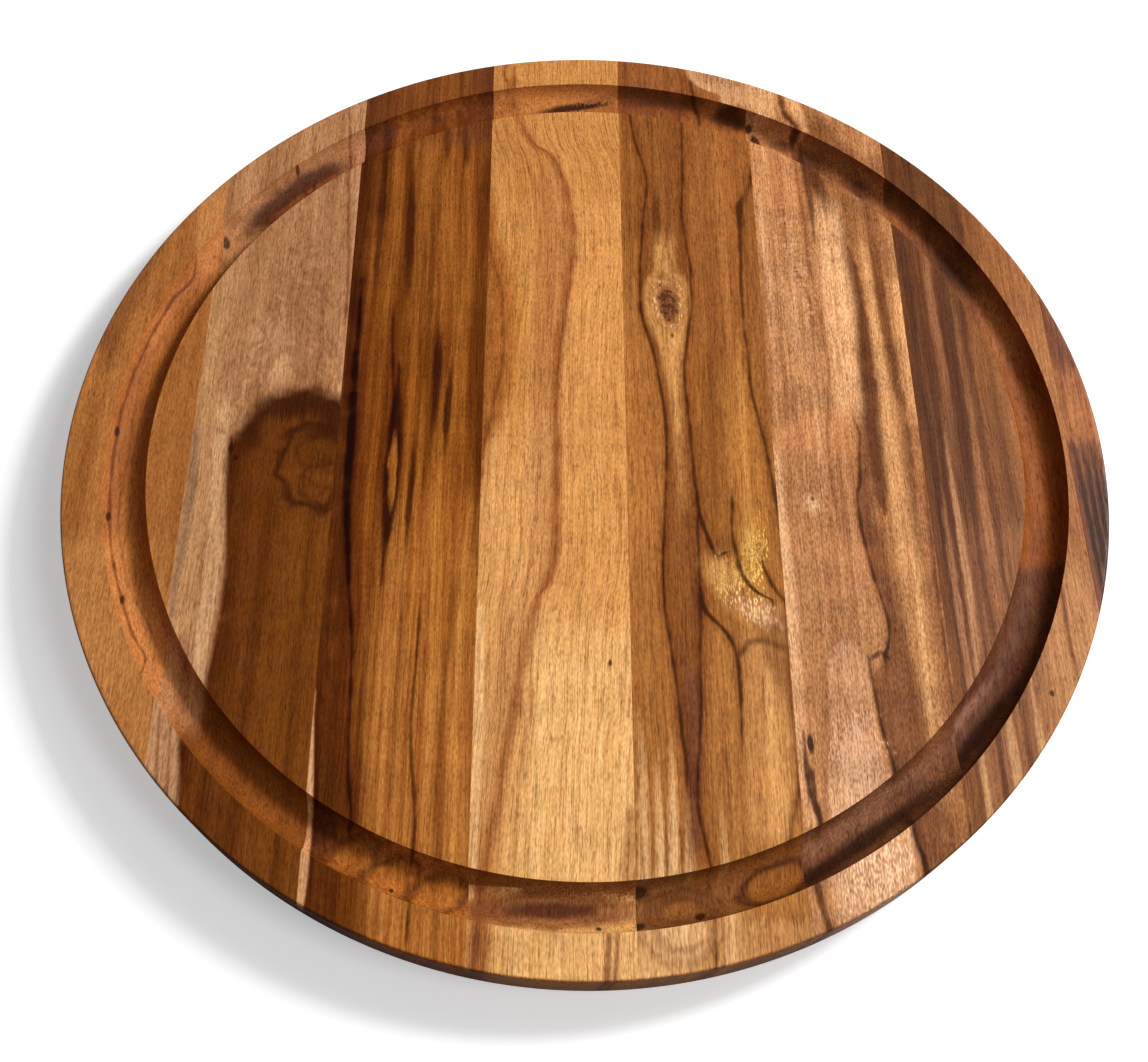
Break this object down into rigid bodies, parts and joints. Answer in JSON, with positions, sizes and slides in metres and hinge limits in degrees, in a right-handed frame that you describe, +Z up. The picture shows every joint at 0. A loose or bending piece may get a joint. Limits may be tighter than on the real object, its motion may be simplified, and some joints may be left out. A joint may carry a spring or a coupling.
{
  "type": "round cutting board",
  "caption": "Round edge-glued hardwood cutting board with a round-bottomed juice groove near its rim and eased edges.",
  "frame": {"origin": "middle of the underside, where the board rests", "axes": "+Z up out of the grooved top face, along the axis of the round; +Y along the staves, away from the viewer; +X across the staves"},
  "size_m": [0.356, 0.356, 0.019],
  "materials": {
    "stave_1": "oiled satin, orange-brown plain grain",
    "stave_2": "oiled satin, pale sapwood over a dark heart patch",
    "stave_3": "oiled satin, dark golden-brown streaks",
    "stave_4": "oiled satin, pale golden cathedral grain",
    "stave_5": "oiled satin, golden brown figured grain with a knot",
    "stave_6": "oiled satin, rippled pinkish-brown grain",
    "stave_7": "oiled satin, purple-brown stripes and smooth orange-brown",
    "stave_8": "oiled satin, dark brown"
  },
  "bodies": {
    "root": {"stave_1": "stave_1", "stave_2": "stave_2", "stave_3": "stave_3", "stave_4": "stave_4", "stave_5": "stave_5", "stave_6": "stave_6", "stave_7": "stave_7", "stave_8": "stave_8"}
  },
  "joints": []
}
